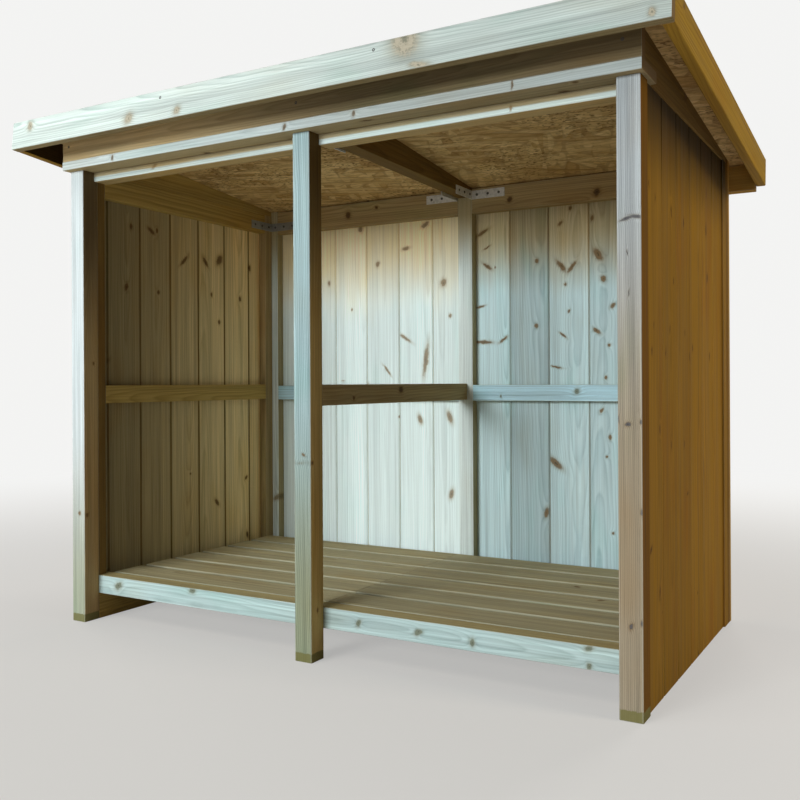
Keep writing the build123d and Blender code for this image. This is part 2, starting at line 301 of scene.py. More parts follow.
LOOKS = {
    "silver_post": {
        "front": (rgb(220, 229, 232), rgb(152, 170, 172)),
        "side": (rgb(184, 158, 114), rgb(134, 108, 68)),
        "tint": (0.55, 0.05, rgb(178, 184, 164), rgb(122, 128, 108)),
        # Painted shade: the post's side darkens towards its top, under the plate.
        "side_tint": (0.62, 1.05, rgb(94, 77, 52)),
        "ring": 0.0034, "contrast": 0.7,
    },
    "mint_post": {
        "front": (rgb(166, 190, 194), rgb(94, 118, 122)),
        "side": (rgb(196, 168, 108), rgb(138, 108, 54)),
        "tint": (0.64, 0.12, rgb(152, 158, 134), rgb(76, 84, 58)),
        # Painted shade: the post's side darkens towards its top, under the plate.
        "side_tint": (0.70, 1.10, rgb(76, 56, 24)),
        "ring": 0.0036, "contrast": 0.8,
    },
    "grey_post": {
        "front": (rgb(178, 186, 190), rgb(108, 112, 116)),
        "side": (rgb(110, 74, 10), rgb(82, 52, 6)),
        "tint": (1.05, 0.45, rgb(160, 148, 128), rgb(106, 94, 74)),
        "knot": (rgb(92, 92, 96), rgb(40, 44, 54), 0.85),
        "ring": 0.0036, "contrast": 0.8,
    },
    "fascia": {
        "front": (rgb(214, 226, 222), rgb(148, 168, 164)),
        "side": (rgb(160, 144, 106), rgb(124, 106, 70)),
        # Painted falloff of the light: the fascia darkens towards the right.
        "fade": (0, -0.60, 0.80, 0.70),
        "knot": (rgb(182, 172, 152), rgb(92, 94, 76), 0.75),
        "ring": 0.0036, "contrast": 0.7,
    },
    "head_rail": {
        "front": (rgb(206, 222, 220), rgb(150, 168, 164)),
        "side": (rgb(204, 178, 126), rgb(166, 138, 88)),
        # Painted shadow of the plate: the top of the rail's front turns tan.
        "tint": (1.146, 1.150, rgb(192, 180, 146), rgb(154, 140, 104)),
        "knot": (rgb(168, 140, 100), rgb(98, 76, 54), 0.6),
        "ring": 0.0044, "contrast": 0.6,
    },
    "plate": {
        "front": (rgb(214, 226, 226), rgb(164, 180, 180)),
        "side": (rgb(190, 174, 136), rgb(148, 130, 92)),
        # Painted shade: the plate darkens towards the right, where the fascia's shadow falls on it.
        "fade": (0, -0.60, 0.75, 0.62),
        "knot": (rgb(108, 88, 66), rgb(58, 46, 36), 0.75),
        "ring": 0.0042, "contrast": 0.65,
    },
    "header": {
        "front": (rgb(210, 188, 144), rgb(160, 136, 94)),
        "side": (rgb(196, 168, 116), rgb(150, 120, 72)),
        # Painted shadow of the fascia: the header darkens towards the right.
        "fade": (0, -0.50, 0.20, 0.32),
        "ring": 0.0044, "contrast": 0.6,
    },
    "golden_board": GOLDEN_BOARD,
    # Painted shade: the left bargeboard's inner face is as dark as the void under the overhang.
    "shaded_board": {**GOLDEN_BOARD, "right": (rgb(58, 44, 18), rgb(38, 28, 10))},
    # A warmer copy of the frame wood for the side walls' rails and the left firring: painted warm
    # light inside the store.
    "warm_lit_frame": {
        "front": (rgb(182, 162, 120), rgb(128, 106, 68)),
        "side": (rgb(176, 148, 84), rgb(120, 94, 42)),
        "ring": 0.0044, "contrast": 0.65,
    },
    "brown_frame": {
        "front": (rgb(182, 162, 120), rgb(128, 106, 68)),
        "side": (rgb(172, 152, 110), rgb(120, 100, 62)),
        "knot": (rgb(96, 76, 54), rgb(40, 32, 26), 0.85),
        "ring": 0.0044, "contrast": 0.65,
    },
    # A darker copy of the frame wood for pieces that stand in shade: painted shade on the firrings
    # under the roof and on the studs behind the head rails.
    "shaded_frame": {
        "front": (rgb(150, 124, 76), rgb(106, 80, 42)),
        "side": (rgb(120, 94, 48), rgb(82, 60, 26)),
        "ring": 0.0044, "contrast": 0.6,
    },
    "slat": {
        "front": (rgb(160, 158, 132), rgb(116, 112, 86)),
        "side": (rgb(174, 164, 130), rgb(124, 112, 80)),
        "ring": 0.0050, "contrast": 0.6,
    },
    "mint_rail": {
        **GREEN_RAIL, "contrast": 0.55, "front": (rgb(186, 208, 208), rgb(128, 154, 152)),
    },
    "blue_rail": {
        **GREEN_RAIL, "contrast": 0.6, "front": (rgb(178, 212, 224), rgb(120, 152, 162)),
    },
    "cream_wall": {
        "front": (rgb(230, 246, 246), rgb(202, 218, 218)),
        "side": (rgb(172, 136, 70), rgb(132, 98, 42)),
        # Painted warm shade under the roof: the boards turn cream towards the top.
        "tint": (0.78, 1.08, rgb(254, 242, 204), rgb(228, 208, 162)),
        "grain": 0.6,
        "knot": (rgb(150, 128, 100), rgb(84, 72, 56), 0.72),
        "ring": 0.0046, "contrast": 0.62,
    },
    "mint_wall": {
        "front": (rgb(198, 222, 226), rgb(146, 176, 182)),
        "side": (rgb(166, 128, 58), rgb(126, 90, 32)),
        # Painted shade under the roof: the boards turn tan towards the top.
        "tint": (0.84, 1.04, rgb(196, 184, 148), rgb(150, 134, 96)),
        "grain": 0.75,
        "knot": (rgb(126, 100, 68), rgb(60, 48, 28), 0.85),
        "ring": 0.0044, "contrast": 0.65,
    },
    "pale_stud": {**PALE_TIMBER, "knot": (rgb(132, 120, 92), rgb(80, 72, 52), 0.7)},
    # Painted warm light from the right on the stile's faces towards the right.
    "outer_stile": {**PALE_TIMBER, "right": (rgb(118, 84, 22), rgb(84, 56, 10))},
    "tan_wall": {
        "front": (rgb(150, 128, 84), rgb(118, 94, 54)),
        "side": (rgb(150, 112, 40), rgb(108, 78, 20)),
        "right": (rgb(228, 204, 152), rgb(176, 150, 100)),
        # Painted shade: the inner face darkens towards the front.
        "fade": (1, 0.35, -0.35, 0.38),
        "knot": (rgb(102, 74, 46), rgb(52, 38, 26), 0.8),
        "ring": 0.0046, "contrast": 0.6,
    },
    "golden_wall": {
        "front": (rgb(170, 132, 66), rgb(136, 100, 44)),
        # Painted warm, dim light from the right, on top of the wood's golden tone: the faces towards
        # the right are darker and more golden.
        "side": (rgb(142, 104, 28), rgb(100, 70, 12)),
        # Painted shadow of the roof's overhang: the wall darkens to near black towards its top, on
        # the faces of both kinds.
        "tint": (0.94, 1.15, rgb(48, 34, 10), rgb(38, 26, 8)),
        "side_tint": (0.94, 1.15, rgb(34, 24, 7)),
        "knot": (rgb(86, 54, 14), rgb(44, 28, 8), 0.9),
        "ring": 0.0052, "contrast": 0.6,
    },
}

PLAIN_KNOT = (rgb(124, 96, 66), rgb(64, 48, 34), 0.75)
HALO = rgb(176, 146, 104)
COPPER = rgb(140, 172, 158)
END_GRAIN = rgb(120, 92, 58)
TREATED_END = rgb(116, 112, 66)
PALE_EDGE = (0.72, 0.74, 0.68, 1.0)

# Layers of flakes: turn in radians, and flakes in a metre along and across
STRAND_LAYERS = (
    (0.10, 8.0, 44.0), (-0.50, 9.0, 38.0), (0.95, 9.0, 42.0), (-1.25, 10.0, 44.0),
    (0.30, 7.0, 50.0),
)

# Knots given one by one, by piece and by the plane of the face, in millimetres: place along
# and up the face, half width and half length, then lean in degrees, with the top leaning
# towards the far end of the wall
KNOTS = {
    "post_left": {
        "XZ": ((-707, 279, 4, 5, 0),),
        "YZ": ((-354, 664, 3.2, 4, 0), (-376, 275, 4, 5, 0)),
    },
    "post_centre": {
        "XZ": (
            (-32, 1128, 1.4, 4, 30), (-26, 1120, 1.2, 3, 0), (34, 437, 6, 6, 0), (4, 453, 5, 3, 20),
        ),
        "YZ": ((-379, 436, 4, 4, 0), (-361, 112, 3, 5, 0)),
    },
    "post_right": {
        "XZ": (
            (719, 903, 2.6, 12, 74), (736, 905, 2.8, 11, -76), (720, 533, 4.2, 4, 0),
            (743, 538, 2.4, 4, 0), (703, 543, 2, 5, 0), (724, 171, 3.5, 6, 20),
            (744, 179, 2.4, 5, 0), (746, 377, 3, 7, 0), (720, 842, 1, 4, 0), (722, 769, 1, 5, 5),
        ),
    },
    "top_plate": {
        "XY": (
            (592, -350, 7.5, 10, 60), (628, -393, 5, 6, 80), (106, -340, 8.5, 10, 30),
            (171, -383, 3, 14, 84), (-300, -350, 7, 9, 30),
        ),
        "XZ": (
            (508, 1173, 2, 10, 0), (-30, 1170, 4, 7, 20), (151, 1172, 3.6, 7, 10),
            (-560, 1171, 4, 7, 0),
        ),
    },
    "head_rails": {
        "XZ": ((-475, 1151, 4, 8, 60), (480, 1146, 2.4, 4, 0)),
    },
    "floor_rail_left": {
        "XZ": ((-365, 107, 6, 10, 80), (-618, 92, 8, 12, 60)),
    },
    "floor_rail_right": {
        "XZ": (
            (114, 89, 5, 8, 40), (262, 89, 5, 9, 60), (386, 85, 6, 8, 0), (630, 107, 5, 8, 60),
            (630, 74, 5, 6, 0),
        ),
    },
    "fascia": {
        "XZ": (
            (-761, 1259, 8.5, 10, 0), (-415, 1226, 11, 13, 60), (-264, 1222, 8.5, 10, 40),
            (320, 1268, 27, 33, -30), (354, 1212, 6, 20, -80), (795, 1222, 6, 7, 0),
        ),
    },
    "left_boards": {
        "YZ": (
            (-198, 1045, 5, 8, 0), (-122, 1043, 5, 14, -60), (-100, 1046, 4.5, 7, 0),
            (8, 973, 4.5, 20, 48), (101, 979, 6, 16, -35), (163, 992, 11, 17, 35),
            (309, 983, 5, 11, 0), (127, 882, 4.5, 7, 0), (260, 880, 5.5, 8, 0),
            (-216, 876, 6, 10, 20), (-96, 871, 4.5, 6, 0), (161, 801, 5, 7, 0),
        ),
    },
    "right_boards": {
        "YZ": (
            (-313, 977, 1.8, 8, 0), (-269, 957, 2, 8, 10), (-146, 950, 3, 12, -10),
            (-40, 944, 3.2, 10, 5), (-34, 1093, 3, 9, 0), (187, 1047, 3.2, 11, 0),
            (181, 960, 5, 12, 0), (191, 849, 4.5, 10, 8), (-130, 813, 2, 6, 0),
            (-283, 715, 2, 7, 0), (-161, 715, 2.2, 7, 0), (-34, 712, 2.2, 6, 0),
            (-298, 666, 2.4, 8, 0), (-195, 666, 3, 8, 0), (38, 682, 2.6, 8, 0), (8, 663, 2.4, 7, 0),
            (212, 667, 3, 9, 0), (-243, 518, 3, 9, 0), (-153, 482, 2.6, 8, 0),
            (-45, 478, 2.6, 8, 0), (-249, 208, 4.5, 10, 10),
        ),
    },
    "back_boards_left": {
        "XZ": (
            (-393, 842, 3, 4, 0), (-297, 979, 6, 8, 20), (-196, 1020, 5, 12, 80),
            (-128, 1087, 6, 14, 60), (-67, 908, 8.5, 11, 10), (-45, 808, 4.2, 6, 0),
            (-200, 747, 4.5, 22, -58), (-128, 679, 7, 46, 8), (-264, 649, 3, 18, -40),
            (-359, 1094, 7, 9, 0), (-480, 930, 5, 7, 0), (-560, 780, 6, 10, 40),
        ),
    },
    "back_boards_right": {
        "XZ": (
            (62, 1046, 5, 20, 62), (76, 1002, 2.4, 11, 60), (76, 948, 4.5, 16, -55),
            (101, 942, 2.6, 3, 0), (55, 831, 2.8, 13, 75), (64, 727, 5, 26, -88),
            (126, 733, 4, 15, 58), (229, 952, 5, 7, 0), (227, 769, 5, 7, 0),
            (299, 1051, 3.5, 8, 40), (329, 1091, 4.5, 6, 0), (301, 933, 6.2, 20, -38),
            (333, 929, 5, 19, 40), (314, 881, 3.8, 5, 0), (324, 807, 3.2, 5, 20),
            (306, 740, 3.5, 11, -48), (285, 652, 2.8, 16, -80), (390, 1058, 5, 8, 20),
            (407, 957, 9, 19, -35), (421, 890, 6.5, 9, -20), (447, 816, 5.5, 9, 40),
            (402, 749, 5, 13, -55), (437, 709, 4, 5, 0), (427, 622, 4, 5, 0), (415, 533, 4, 8, 30),
            (437, 459, 4.5, 7, 0),
        ),
    },
    "back_top_rail_left": {
        "XZ": ((-387, 1136, 9, 10, 0), (-284, 1150, 5, 5, 0)),
    },
    "back_top_rail_right": {
        "XZ": ((414, 1121, 8, 10, 40), (160, 1128, 6, 8, 30)),
    },
    "back_mid_rails": {
        "XZ": ((355, 585, 6.5, 8, 30), (130, 570, 3, 4, 0), (-420, 580, 6, 8, 0)),
    },
    "divider_rail": {
        "YZ": ((9, 592, 9, 8, 0), (-210, 575, 4, 5, 0)),
    },
}


class Timber(Graph):
    """Softwood in one look, laid out by the marks that each stick or board carries."""

    def __init__(self, name, look):
        super().__init__(bpy.data.materials.new(name), "ShaderNodeOutputMaterial")
        self.look = look
        self.place = self.object_place()
        self.height = self.split(self.place)[2]
        self.seed = self.mark("seed")
        spot = self.mark("spot", "Vector")
        self.across, self.through, self.along = self.split(spot)
        self.luck = self.random(self.seed)
        shift = self.join(*[self.times(self.seed, share) for share in (3.1, 1.7, 2.3)])
        self.start = self.vector("ADD", spot, shift)
        normal = self.split(self.add("ShaderNodeNewGeometry").outputs["Normal"])
        # Which faces look to the front and which to the right: the looks paint cool front light and
        # warm light from the right by these.
        self.frontal = self.span(self.times(normal[1], -1.0), 0.35, 0.75)
        self.rightward = self.span(normal[0], 0.5, 0.9)
        self.fibre = self.streaks(240.0, 3.2)
        self.streak = self.streaks(52.0, 0.8)
        self.blotch = self.noise(self.stretched(10.0, 3.4), detail=2.0, rough=0.6)

    def stretched(self, wide, tall):
        return self.vector("MULTIPLY", self.start, (wide, wide, tall))

    def streaks(self, wide, tall):
        noise = self.noise(self.stretched(wide, tall), detail=2.0, rough=0.6)
        return self.span(noise, 0.28, 0.72, smooth=False)

    def placed_knots(self, knots, plane):
        """Distance to the nearest listed knot, counted in knots."""
        places = self.split(self.place)
        first, second = [places["XYZ".index(axis)] for axis in plane]
        half = KNOT_SHAKE / 2.0
        spot = self.join(first, second, self.mark("piece"))
        centred = self.vector("SUBTRACT", spot, (half, half, 0.0))
        wobble = self.noise(self.place, 70.0, 1.0, output="Color")
        shaken = self.vector("MULTIPLY_ADD", wobble, (KNOT_SHAKE, KNOT_SHAKE, 0.0), centred)
        nearest = NO_KNOT
        for along_at, up_at, half_width, half_length, lean, board in knots:
            middle = (along_at * MM, up_at * MM, board)
            turn = (0.0, 0.0, -math.radians(lean))
            size = (half_width * MM, half_length * MM, 0.01)
            at_knot = self.add("ShaderNodeMapping", shaken, middle, turn, size, vector_type="TEXTURE")
            nearest = self.sum("MINIMUM", nearest, self.vector("LENGTH", at_knot.outputs[0]))
        if plane == "XZ":
            hidden = self.times(self.minus(1.0, self.frontal), NO_KNOT)
            nearest = self.plus(nearest, hidden)
        return nearest

    def scattered_knots(self, share, size, top):
        """Distance to the knot of the board's cell, counted in knots, where the cell has one."""
        wide, tall = KNOT_CELL
        start = self.join(
            self.plus(self.times(self.across, 1.0 / wide), self.times(self.seed, 13.7)),
            self.plus(self.times(self.along, 1.0 / tall), self.times(self.seed, 5.3)),
            0.0,
        )
        cells = self.cells(start, flat=True, randomness=0.85)
        here = self.split(start)
        middle = self.split(cells.outputs["Position"])
        chance = self.split(cells.outputs["Color"])
        off = self.times(self.minus(here[0], middle[0]), wide)
        up = self.times(self.minus(here[1], middle[1]), tall)
        turn = self.swing(chance[2], 2.6)
        cosine = self.sum("COSINE", turn)
        sine = self.sum("SINE", turn)
        first = self.plus(self.times(off, cosine), self.times(up, sine))
        second = self.minus(self.times(up, cosine), self.times(off, sine))
        lengthen = self.plus(1.1, self.times(self.sum("POWER", chance[1], 2.0), 1.8))
        away = self.length(first, self.sum("DIVIDE", second, lengthen))
        radius = self.times(self.plus(0.3, self.times(chance[1], 0.8)), size)
        none_here = self.sum("GREATER_THAN", chance[0], share)
        away = self.plus(self.sum("DIVIDE", away, radius), self.times(none_here, NO_KNOT))
        if top is not None:
            too_high = self.sum("GREATER_THAN", self.height, top)
            away = self.plus(away, self.times(too_high, NO_KNOT))
        return away

    def set_out_knots(self, knots, share, size, top):
        """Finds how far the nearest knot is, counted in knots, and how near that is."""
        self.away = NO_KNOT
        for plane, group in knots.items():
            self.away = self.sum("MINIMUM", self.away, self.placed_knots(group, plane))
        if share:
            self.away = self.sum("MINIMUM", self.away, self.scattered_knots(share, size, top))
        square = self.times(self.away, self.away, 0.5)
        self.near = self.sum("DIVIDE", 1.0, self.plus(square, 1.0))

    def rings(self):
        """Share of summer wood in the growth rings, which swell round each knot."""
        drift = self.noise(self.stretched(4.0, 0.8), detail=0.0)
        ripple = self.noise(self.stretched(34.0, 8.0), detail=1.0)
        pith_depth = self.plus(0.016, self.times(self.luck[1], 0.05))
        lean = self.times(self.along, self.swing(self.luck[2], 0.04))
        off = self.minus(self.across, self.swing(self.luck[0], 0.10))
        off = self.plus(off, self.swing(drift, 0.04))
        deep = self.plus(self.through, pith_depth, lean, self.swing(drift, 0.06))
        swell = self.times(self.near, 0.007)
        radius = self.plus(self.length(off, deep), self.swing(ripple, 0.0046), swell)
        phase = self.sum("FRACT", self.times(radius, 1.0 / self.look["ring"]))
        rise = self.sum("POWER", phase, 2.2)
        fall = self.times(self.minus(1.0, phase), 5.0)
        return self.sum("MINIMUM", rise, fall, clamp=True)

    def both(self, share, first, second):
        """Spring and summer wood, blended each with its own."""
        return [self.blend(share, one, other) for one, other in zip(first, second)]

    def faces(self, late):
        """The colour of each face, by the way that it looks and its height: painted light by the way
        the face is turned and, on some looks, painted shade by its height.
        """
        look = self.look
        front = look["front"]
        side = look["side"]
        if "tint" in look:
            low, high, early_tint, late_tint = look["tint"]
            uneven = self.plus(self.height, self.swing(self.blotch, abs(high - low) * 0.6))
            front = self.both(self.span(uneven, low, high), front, (early_tint, late_tint))
        # Painted shade: the sides darken towards their tops.
        if "side_tint" in look:
            low, high, tint = look["side_tint"]
            side = self.both(self.span(self.height, low, high, 0.0, 0.9), side, (tint, tint))
        if "right" in look:
            side = self.both(self.rightward, side, look["right"])
        spring, summer = self.both(self.frontal, side, front)
        return self.blend(self.times(late, look["contrast"]), spring, summer)

    def toned(self, colour):
        """Lighter and darker fibres and boards, painted light falling off along the piece, and slow
        stains.
        """
        look = self.look
        grain = look.get("grain", 1.0)
        tone = self.plus(
            1.0 - 0.34 * grain,
            self.times(self.streak, 0.32 * grain),
            self.times(self.fibre, 0.36 * grain),
            self.swing(self.luck[1], 0.06),
        )
        # Painted light that falls off along one axis; on a look with right colours only on the faces
        # towards the right.
        if "fade" in look:
            axis, start, end, tone_there = look["fade"]
            painted_light_share = self.span(self.split(self.place)[axis], start, end, 1.0, tone_there)
            if "right" in look:
                painted_light_share = self.plus(1.0, self.times(self.rightward, self.minus(painted_light_share, 1.0)))
            tone = self.times(tone, painted_light_share)
        tone = self.times(tone, self.plus(1.0, self.mark("shade")))
        colour = self.blend(1.0, colour, self.join(tone, tone, tone), "MULTIPLY")
        warm = self.span(self.blotch, 0.46, 0.78, 0.0, 0.4)
        colour = self.blend(warm, colour, HALO, "SOFT_LIGHT")
        copper = self.times(self.span(self.blotch, 0.50, 0.28, 0.0, 0.45), self.frontal)
        return self.blend(copper, colour, COPPER, "SOFT_LIGHT")

    def knotted(self, colour):
        """Knots: paler inside, a dark uneven rim, and a halo where the grain turns."""
        turned = self.noise(self.stretched(260.0, 260.0), detail=1.0)
        uneven = self.plus(self.away, self.swing(turned, 0.7))
        mask = self.span(uneven, 0.62, 1.25, 1.0, 0.0)
        rim = self.times(self.span(uneven, 0.55, 0.95), mask)
        heart = self.span(uneven, 0.05, 0.45, 0.8, 0.0)
        dark = self.sum("MAXIMUM", self.times(rim, self.span(turned, 0.40, 0.60)), heart)
        heart_colour, rim_colour, shown = self.look.get("knot", PLAIN_KNOT)
        inside = self.blend(dark, heart_colour, rim_colour)
        halo = self.span(self.near, 0.22, 0.85, 0.0, 0.55)
        colour = self.blend(halo, colour, HALO, "MULTIPLY")
        return self.blend(self.times(mask, shown), colour, inside)

    def weathered(self, colour, foot):
        """Darker end grain, paler eased edges on the faces towards the front and, on a post, a foot
        soaked in preservative.
        """
        colour = self.blend(self.times(self.mark("end"), 0.75), colour, END_GRAIN)
        if foot:
            edge = self.plus(SOAKED_FOOT, self.swing(self.fibre, 0.003))
            soaked = self.span(self.minus(edge, self.along), -0.0008, 0.0008)
            colour = self.blend(self.times(soaked, 0.85), colour, TREATED_END)
        return self.blend(self.times(self.mark("eased_edge"), self.frontal, 0.16), colour, PALE_EDGE)


def wood(name, look_name, knots, foot=False, scatter=0.0, knot_size=0.007, scatter_top=None):
    """Softwood with growth rings about a pith, knots, fibres and stains."""
    timber = Timber(name, LOOKS[look_name])
    timber.set_out_knots(knots, scatter, knot_size, scatter_top)
    colour = timber.toned(timber.faces(timber.rings()))
    if knots or scatter:
        colour = timber.knotted(colour)
    rough = timber.plus(0.70, timber.times(timber.streak, 0.2))
    colour = timber.weathered(colour, foot)
    return timber.finish(colour, rough, timber.fibre, relief=0.0003, strength=0.35, gloss=0.12)


def strand_board():
    """Flakes pressed flat in layers, each layer turned its own way."""
    g = surface_graph("strand_board")
    place = g.object_place()
    x, y, z = g.split(place)
    colour = rgb(214, 180, 120)
    for turn, coarse, fine in STRAND_LAYERS:
        cosine = math.cos(turn)
        sine = math.sin(turn)
        first = g.plus(g.times(x, cosine * coarse), g.times(y, sine * coarse))
        second = g.minus(g.times(y, cosine * fine), g.times(x, sine * fine))
        cells = g.cells(g.join(first, second, 0.0), flat=True)
        chance = g.split(cells.outputs["Color"])
        flake = g.blend(chance[0], rgb(190, 152, 94), rgb(238, 208, 150))
        share = g.times(g.sum("GREATER_THAN", chance[1], 0.5), 0.8)
        edge = g.span(cells.outputs["Distance"], 0.40, 0.62, 0.0, 0.5)
        flake = g.blend(edge, flake, rgb(124, 90, 48))
        colour = g.blend(share, colour, flake)
    grain = g.noise(g.join(g.times(x, 20.0), g.times(y, 150.0), z), detail=2.0)
    colour = g.blend(g.span(grain, 0.40, 0.70, 0.0, 0.45), colour, rgb(150, 112, 62))
    patch = g.noise(place, scale=6.0, detail=1.0)
    specks = g.noise(g.join(g.times(x, 90.0), g.times(y, 170.0), z), detail=1.0)
    dark = g.times(g.span(specks, 0.55, 0.66), g.span(patch, 0.38, 0.62, 0.1, 0.8))
    colour = g.blend(dark, colour, rgb(92, 64, 34))
    return g.finish(colour, 0.8, grain, relief=0.0006, strength=0.5, gloss=0.12)


def roofing_felt():
    """Mineral felt: stone granules in bitumen."""
    g = surface_graph("roofing_felt")
    place = g.object_place()
    cells = g.cells(place, scale=620.0)
    chance = g.split(cells.outputs["Color"])
    patch = g.noise(place, scale=4.0, detail=4.0)
    colour = g.blend(chance[0], rgb(38, 44, 40), rgb(88, 98, 88))
    colour = g.blend(g.span(chance[1], 0.86, 0.9), colour, rgb(142, 150, 136))
    colour = g.blend(g.span(patch, 0.4, 0.75, 0.0, 0.4), colour, rgb(52, 56, 50))
    height = g.minus(1.0, cells.outputs["Distance"])
    return g.finish(colour, 0.9, height, relief=0.0008, strength=0.7, gloss=0.25)


def galvanised(name, tone):
    """Zinc with the faint crystals of hot dipping."""
    g = surface_graph(name)
    place = g.object_place()
    cells = g.cells(place, scale=210.0)
    chance = g.split(cells.outputs["Color"])
    cloud = g.noise(place, scale=60.0, detail=3.0)
    light = rgb(206 * tone, 207 * tone, 204 * tone)
    dark = rgb(186 * tone, 188 * tone, 186 * tone)
    colour = g.blend(chance[0], dark, light)
    colour = g.blend(g.span(cloud, 0.5, 0.8, 0.0, 0.35), colour, rgb(120, 118, 110))
    rough = g.plus(0.36, g.times(cloud, 0.25))
    return g.finish(colour, rough, cloud, relief=0.0002, strength=0.3, metal=0.35)


def islands(mesh):
    """The sets of points that hang together."""
    left = set(mesh.verts)
    found = []
    while left:
        island = set()
        wave = [next(iter(left))]
        while wave:
            vertex = wave.pop()
            if vertex in island:
                continue
            island.add(vertex)
            wave += [edge.other_vert(vertex) for edge in vertex.link_edges]
        left -= island
        found.append(island)
    return found


def solids_of(node):
    """The node's separate solids as clean meshes, in order of their low corners."""
    whole = bmesh.new()
    whole.from_mesh(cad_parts[node].data)
    bmesh.ops.remove_doubles(whole, verts=whole.verts, dist=WELD)
    pieces = []
    for island in islands(whole):
        piece = bmesh.new()
        copies = {vertex: piece.verts.new(vertex.co) for vertex in whole.verts if vertex in island}
        for face in whole.faces:
            if face.verts[0] in island:
                piece.faces.new([copies[vertex] for vertex in face.verts])
        bmesh.ops.dissolve_limit(piece, angle_limit=FLAT, verts=piece.verts, edges=piece.edges)
        bmesh.ops.recalc_face_normals(piece, faces=piece.faces)
        pieces.append(([min(values) for values in reach_of(piece)], piece))
    whole.free()
    pieces.sort(key=lambda pair: [round(value, 4) for value in pair[0]])
    return [piece for low, piece in pieces]


def reach_of(piece, axes=(ACROSS, BACK, UP)):
    """Where all points of the piece lie along each axis."""
    return [[vertex.co.dot(axis) for vertex in piece.verts] for axis in axes]


def ease_edges(piece):
    """Rounds the sharp edges and marks the narrow new faces as eased edges."""
    eased_faces = piece.faces.layers.float.new("eased_edge")
    sharp = [
        edge for edge in piece.edges
        if len(edge.link_faces) == 2 and edge.calc_face_angle() > SHARP
    ]
    made = bmesh.ops.bevel(
        piece, geom=sharp, offset=EDGE_EASE, offset_type="OFFSET", segments=2,
        profile=0.5, affect="EDGES", clamp_overlap=True,
    )
    for face in made["faces"]:
        face[eased_faces] = 1.0


def cut_stations(piece, axis):
    """Cuts the piece across its length so that long faces aren't slivers."""
    ends = reach_of(piece, (axis,))[0]
    low, high = min(ends), max(ends)
    count = int((high - low) / STATION)
    for index in range(1, count):
        spot = low + (high - low) * index / count
        geometry = piece.verts[:] + piece.edges[:] + piece.faces[:]
        bmesh.ops.bisect_plane(
            piece, geom=geometry, dist=0.000001, plane_co=axis * spot, plane_no=axis
        )


def write_marks(piece, along, through, seed, number=0.0, tone=0.0):
    """Stores where each point lies in its own stick, for the wood pattern."""
    across = along.cross(through)
    spots = piece.verts.layers.float_vector.new("spot")
    seeds = piece.verts.layers.float.new("seed")
    numbers = piece.verts.layers.float.new("piece")
    tones = piece.verts.layers.float.new("shade")
    ends = piece.faces.layers.float.new("end")
    axes = (across, through, along)
    reach = reach_of(piece, axes)
    middle = [(min(values) + max(values)) / 2.0 for values in reach]
    middle[2] = min(reach[2])
    for vertex in piece.verts:
        place = [vertex.co.dot(axis) - zero for axis, zero in zip(axes, middle)]
        vertex[spots] = Vector(place)
        vertex[seeds] = seed
        vertex[numbers] = number
        vertex[tones] = tone
    for face in piece.faces:
        face[ends] = 1.0 if abs(face.normal.dot(along)) > 0.8 else 0.0


def make_object(name, pieces, material, nodes):
    """Joins finished pieces in one object that stands for its nodes."""
    whole = bpy.data.meshes.new(name)
    joined = bmesh.new()
    for piece in pieces:
        part = bpy.data.meshes.new("part")
        piece.to_mesh(part)
        piece.free()
        joined.from_mesh(part)
        bpy.data.meshes.remove(part)
    joined.to_mesh(whole)
    joined.free()
    thing = bpy.data.objects.new(name, whole)
    bpy.context.scene.collection.objects.link(thing)
    whole.materials.append(material)
    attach(thing, "root")
    if nodes:
        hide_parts(*nodes)


def stick(name, node, along, through, look, foot=False, scatter=0.12):
    """Planed timber made from the node's solids, with eased edges."""
    pieces = solids_of(node)
    for piece in pieces:
        ease_edges(piece)
        cut_stations(piece, along)
        write_marks(piece, along, through, dice.uniform(0.0, SEED_REACH))
    groups = KNOTS.get(name, {})
    placed = {plane: [(*knot, 0.0) for knot in group] for plane, group in groups.items()}
    material = wood(name + "_wood", look, placed, foot, 0.0 if placed else scatter)
    make_object(name, pieces, material, [node])


def board_edge(seam, way, reach, half, gap):
    """One edge of a board: half a V joint on both faces, and a tongue or groove between."""
    near = BOARD_THICKNESS / 2.0 - half
    points = [(JOINT_HALF, 0.0), (gap, JOINT_DEPTH), (gap, near), (reach, near)]
    points += [(inset, BOARD_THICKNESS - depth) for inset, depth in reversed(points)]
    return [(seam + way * inset, depth) for inset, depth in points]


def board_section(low, high, first, last, gap):
    """Outline of one board: grooved on the low edge and tongued on the high one."""
    low_edge = board_edge(low, 1.0, GROOVE_LENGTH, TONGUE_HALF + GROOVE_SLACK, gap)
    high_edge = board_edge(high, -1.0, -TONGUE_LENGTH, TONGUE_HALF, gap)
    if first:
        low_edge = [(low, 0.0), (low, BOARD_THICKNESS)]
    if last:
        high_edge = [(high, 0.0), (high, BOARD_THICKNESS)]
    return low_edge[::-1] + high_edge


def wall_directions(node, low, high):
    """The way that the boards follow each other, the way inwards, and the outer face."""
    if node.startswith("back"):
        return ACROSS, BACK, BACK * low.y
    if node.startswith("left"):
        return BACK, ACROSS, ACROSS * low.x
    return BACK, -ACROSS, ACROSS * high.x


